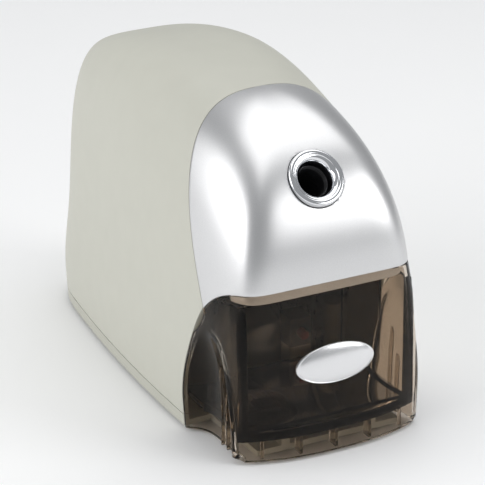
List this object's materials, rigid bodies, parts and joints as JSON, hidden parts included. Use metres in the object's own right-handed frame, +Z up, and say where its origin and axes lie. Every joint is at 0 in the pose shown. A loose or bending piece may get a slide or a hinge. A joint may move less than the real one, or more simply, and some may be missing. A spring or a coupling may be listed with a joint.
{
  "type": "electric pencil sharpener",
  "caption": "Desktop electric pencil sharpener with an arched housing, a domed metallic front, a chrome pencil hole and a smoke shavings drawer.",
  "frame": {"origin": "under the middle of the whole object, at table level", "axes": "+X to the user's right seen from the front, +Y towards the rear, +Z up; the pencil hole and the drawer face -Y"},
  "size_m": [0.0956, 0.2129, 0.1415],
  "materials": {
    "housing_plastic": "fine matte grain",
    "plate_silver": "satin silver",
    "ring_chrome": "polished",
    "drawer_smoke": "transparent smoke",
    "badge_silver": "satin silver",
    "base_plastic": "fine matte grain",
    "foot_rubber": "matte",
    "black_rubber": "matte",
    "black_plastic": "moulded",
    "red_plastic": "moulded",
    "white_nylon": "moulded",
    "bobbin_plastic": "moulded",
    "zinc_steel": "zinc plated",
    "plain_steel": "ground",
    "cutter_steel": "ground, hardened",
    "sintered_steel": "sintered",
    "cast_zinc": "cast",
    "rotor_iron": "turned laminations",
    "stator_iron": "stacked laminations",
    "bush_brass": "turned",
    "winding_copper": "enamelled copper wire"
  },
  "bodies": {
    "body": {"upper_housing": "housing_plastic", "front_plate": "plate_silver", "nose_ring": "ring_chrome", "base_tray": "base_plastic", "rubber_feet": "foot_rubber", "base_screws": "zinc_steel", "cord_gland": "black_rubber", "pencil_guide": "black_plastic", "lever_pin": "plain_steel", "pencil_switch": "black_plastic", "switch_button": "red_plastic", "cutter_housing": "black_plastic", "ring_gear": "sintered_steel", "carrier_bush": "bush_brass", "motor_frame": "zinc_steel", "frame_screws": "zinc_steel", "gear_axle": "plain_steel", "stator_stack": "stator_iron", "coil_bobbin": "bobbin_plastic", "coil_winding": "winding_copper", "front_bracket": "zinc_steel", "rear_bracket": "zinc_steel", "shaft_bushes": "bush_brass", "motor_screws": "zinc_steel", "stack_bolts": "zinc_steel", "interlock_switch": "black_plastic"},
    "drawer": {"shavings_drawer": "drawer_smoke", "drawer_badge": "badge_silver"},
    "carrier": {"cutter_carrier": "cast_zinc", "cutter_pin": "plain_steel", "carrier_gear": "white_nylon"},
    "cutter": {"helical_cutter": "cutter_steel"},
    "compound": {"compound_gear": "white_nylon"},
    "rotor": {"rotor": "rotor_iron", "motor_shaft": "plain_steel", "motor_pinion": "bush_brass", "cooling_fan": "black_plastic"},
    "lever": {"switch_lever": "white_nylon"},
    "plunger": {"interlock_plunger": "red_plastic"}
  },
  "joints": [
    {"name": "drawer_slide", "type": "slide", "parent": "body", "child": "drawer", "axis": [0, -1, 0], "range_m": [0, 0.075]},
    {"name": "carrier_spin", "type": "hinge", "parent": "body", "child": "carrier", "pos_m": [0, -0.03818, 0.07433], "axis": [0, 0.766, -0.6428], "continuous": true},
    {"name": "compound_spin", "type": "hinge", "parent": "body", "child": "compound", "pos_m": [-0.01588, 0.0042, 0.06728], "axis": [0, 0.766, -0.6428], "continuous": true},
    {"name": "rotor_spin", "type": "hinge", "parent": "body", "child": "rotor", "pos_m": [0, 0.03117, 0.06053], "axis": [0, 0.766, -0.6428], "continuous": true},
    {"name": "cutter_spin", "type": "hinge", "parent": "carrier", "child": "cutter", "pos_m": [0, -0.04103, 0.06315], "axis": [0, 0.766, -0.6428], "continuous": true},
    {"name": "lever_press", "type": "hinge", "parent": "body", "child": "lever", "pos_m": [0, -0.05083, 0.10126], "axis": [-1, 0, 0], "range_deg": [0, 8], "stiffness_Nm_per_rad": 0.02},
    {"name": "plunger_press", "type": "slide", "parent": "body", "child": "plunger", "axis": [0, 1, 0], "range_m": [0, 0.0015], "stiffness_N_per_m": 60}
  ],
  "couplings": [
    {"joint": "compound_spin", "follows": "carrier_spin", "ratio": -2.8571},
    {"joint": "rotor_spin", "follows": "carrier_spin", "ratio": 9.0476},
    {"joint": "cutter_spin", "follows": "carrier_spin", "ratio": -2.8571}
  ]
}
